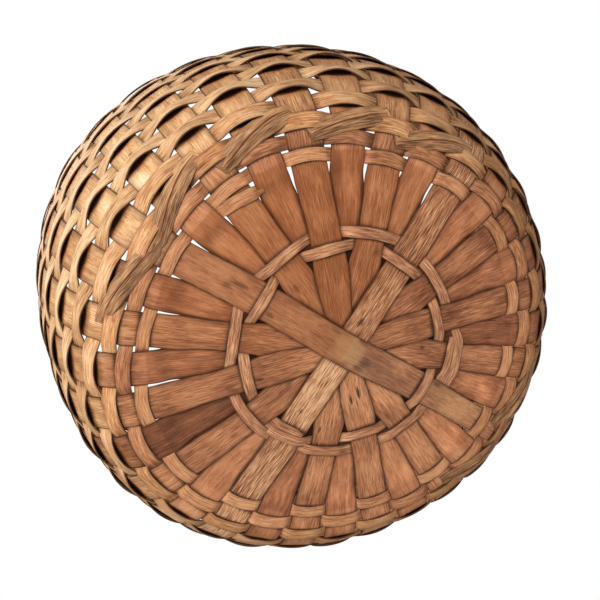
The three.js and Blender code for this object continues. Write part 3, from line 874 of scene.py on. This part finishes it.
for row in range(1, basket["rows"] + 1):
    makeStrip(f"weaver_{row:02d}", weavers["cuts"], weaverPath(row), weavers["thickness"], weavers["edge"],
              "base_weaver" if row < 3 else "wall_weaver",
              [f"weaver_row_{row:02d}"])
print("rows woven")


# Twining strands: folded splints that spiral round the third row, out over every other upright
twining = {
    "width": 13.5,
    "tuck": (8.5, 9.0),       # its width at the low and at the high end
    "thickness": 0.7,
    "low": -8.0,              # ends of each slant, from the middle of the row
    "high": 7.5,
    "turn": 0.09,             # share of a slant in which it comes round to the next
    "grainRadius": 160.0,     # turns its angle into a length of grain
    "over": 3.6,
    "seat": 0.95,             # under the row, on the uprights
    "folds": ((0.1, 0.55),),    # place across and depth of the splits
    "cuts": (90, 40),
    "edge": 0.12,
}


def twiningPath(strand):
    slants = strand["slants"]
    begin = (strand["first"] - 1) * step
    sweep = 2 * len(slants) * step
    seed = strand["first"] * 2.9
    ends = [(twining["low"], twining["high"])[::slant] for slant in slants]

    def path(share, across):
        angle = begin + share * sweep
        number = min(int(share * len(slants)), len(slants) - 1)
        within = share * len(slants) - number
        start, end = ends[number]
        shift = blend(start, end, min(max((within - 0.06) / 0.88, 0), 1))
        if within < twining["turn"] and number > 0:
            shift = blend((ends[number - 1][1] + start) / 2, start, smooth(0, twining["turn"], within))
        if within > 1 - twining["turn"] and number < len(slants) - 1:
            shift = blend(end, (end + ends[number + 1][0]) / 2, smooth(1 - twining["turn"], 1, within))
        middle = math.sin(math.pi * within)
        spread = min(2.2 * (1 - abs(2 * within - 1)), 1)
        high = within if slants[number] > 0 else 1 - within
        wide = blend(blend(*twining["tuck"], high), twining["width"], spread)
        wide *= 1 + 0.12 * ripple(number * 7.1, seed)
        out = blend(twining["seat"], twining["over"], smooth(0.1, 0.95, middle))
        crack, split = 0.0, 0.0
        for fold, (place, depth) in enumerate(twining["folds"]):
            crease = place + 0.35 * (within - 0.5)
            crease += 0.25 * ripple(within * 2.1, number * 3.3 + fold * 9.7, seed)
            past = across - crease
            crack = max(crack, 1 - smooth(0.03, 0.1, abs(past + 0.04)))
            split += depth * math.copysign(0.12, past)
            raised = smooth(-0.04, 0.06, past) * (1 - 0.6 * smooth(0.1, 1.0, past))
            out += depth * spread * (raised - 0.4)
        out -= across * 0.8 * spread
        reach, height, goR, goZ = wallAt(rowPlace(basket["baseRows"], angle) + shift + across * wide / 2)
        out = min(out, (height - 0.5) / max(goR, 0.05))
        place = settle(reach + out * goZ, angle, height - out * goR)
        tone = 0.38 + split + 0.1 * ripple(within * 2, across * 1.6 + number * 5, seed) + 0.12 * (high - 0.5)
        # painted shade in the crease of each split
        look = (abs(across) ** 3, tone, 0.0, 0.0, 0.0, 0.75 * crack * spread)
        uv = (math.radians(angle) * twining["grainRadius"] + seed * 77) * mm, across * wide / 2 * mm
        return place, uv, look, 1.0

    return path


for name, strand in strands.items():
    along, across = twining["cuts"]         # cuts along each slant, and across
    makeStrip(name.replace("strand", "splint"), (along * len(strand["slants"]), across), twiningPath(strand),
              twining["thickness"], twining["edge"], "twining_splint", [name])
print("strands twined")


# Rim: a shaved hoop on each side of the upright ends
hoops = {
    "gap": 0.6,               # from the middle of the uprights to a hoop's flat face
    "thickness": 3.2,
    "round": (0.55, 0.25),    # exponents of its section, on the shaved and on the flat side
    "cuts": (256, 20),
}
rimMiddle = rimTop - basket["hoopHeight"] / 2


def makeHoop(name, outward, node):
    bpy.ops.object.select_all(action="DESELECT")
    bpy.ops.mesh.primitive_torus_add(major_segments=hoops["cuts"][0], minor_segments=hoops["cuts"][1],
                                     major_radius=1, minor_radius=0.25)
    piece = bpy.context.object
    piece.name = name
    mesh = piece.data
    places, spread, looks = [], [], []
    radius, height, goR, goZ = wallAt(rimMiddle)
    for vert in mesh.vertices:
        angle = math.degrees(math.atan2(vert.co.y, vert.co.x))
        turn = math.atan2(vert.co.z, (math.hypot(vert.co.x, vert.co.y) - 1) * outward)
        c, s = math.cos(turn), math.sin(turn)
        shaved, flat = hoops["round"]
        deep = abs(c) ** shaved if c > 0 else -abs(c) ** flat
        tall = math.copysign(abs(s) ** shaved, s)
        out = outward * (hoops["gap"] + hoops["thickness"] / 2 * (1 + deep))
        rise = tall * basket["hoopHeight"] / 2 + 0.5 * ripple(angle * 0.03, outward * 4)
        places.append(settle(radius + out * goZ + rise * goR, angle, height - out * goR + rise * goZ))
        spread.append(((math.radians(angle) + 4) * radius * mm + outward, rise * mm + c * 0.002))
        looks.append((abs(s) ** 3 * 0.9, 0.5 + 0.08 * ripple(angle * 0.02, 3), 0, 0))
    dress(mesh, places, spread, looks)
    layer = mesh.uv_layers["splint"]
    for face in mesh.polygons:
        turns = [spread[mesh.loops[i].vertex_index][0] for i in face.loop_indices]
        if max(turns) - min(turns) > 0.5:
            for i in face.loop_indices:
                u, v = spread[mesh.loops[i].vertex_index]
                past = u < (max(turns) + min(turns)) / 2
                layer.data[i].uv = (u + (2 * math.pi * radius * mm if past else 0), v)
    bpy.ops.object.mode_set(mode="EDIT")
    bpy.ops.mesh.select_all(action="SELECT")
    bpy.ops.mesh.normals_make_consistent(inside=False)
    bpy.ops.object.mode_set(mode="OBJECT")
    bpy.ops.object.shade_smooth_by_angle(angle=smoothAngle)
    mesh.materials.append(finishes["rim_hoop"])
    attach(piece, "root")
    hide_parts(node)


makeHoop("outer_hoop", 1, "outer_rim_hoop")
makeHoop("inner_hoop", -1, "inner_rim_hoop")

# Lashing: one splint wound through every gap around both hoops
lashing = {
    "width": 6.5,
    "thickness": 0.8,
    "clear": 0.65,            # from the hoops
    "square": 0.5,            # exponent of its section
    "turn": 62.0,             # length of one turn
    "cuts": (basket["uprights"] * 36, 4),
    "edge": 0.18,
}


def lashingPoint(turns):
    radius, height, goR, goZ = wallAt(rimMiddle)
    around = 2 * math.pi * turns
    c, s = (math.copysign(abs(v) ** lashing["square"], v) for v in (math.cos(around), math.sin(around)))
    out = c * (hoops["gap"] + hoops["thickness"] + lashing["clear"])
    rise = s * (basket["hoopHeight"] / 2 + lashing["clear"])
    angle = (turns - 0.25) * step
    return settle(radius + out * goZ + rise * goR, angle, height - out * goR + rise * goZ)


def lashingPath(share, across):
    turns = share * basket["uprights"]
    here = lashingPoint(turns)
    along = (lashingPoint(turns + 0.02) - lashingPoint(turns - 0.02)).normalized()
    core = wallAt(rimMiddle)
    middle = settle(core[0], (turns - 0.25) * step, core[1])
    outward = (here - middle).normalized()
    sideways = along.cross(outward).normalized()
    wide = lashing["width"] * (1 + 0.08 * ripple(turns * 0.7, 5))
    look = (abs(across), 0.5 + 0.16 * ripple(turns * 0.9, 8), 0, 0)
    side = across * wide / 2 * mm
    return here + sideways * side, (turns * lashing["turn"] * mm, side), look, 1.0


makeStrip("rim_lashing_splint", lashing["cuts"], lashingPath, lashing["thickness"], lashing["edge"],
          "rim_lashing", ["rim_lashing"])
print("rim lashed")
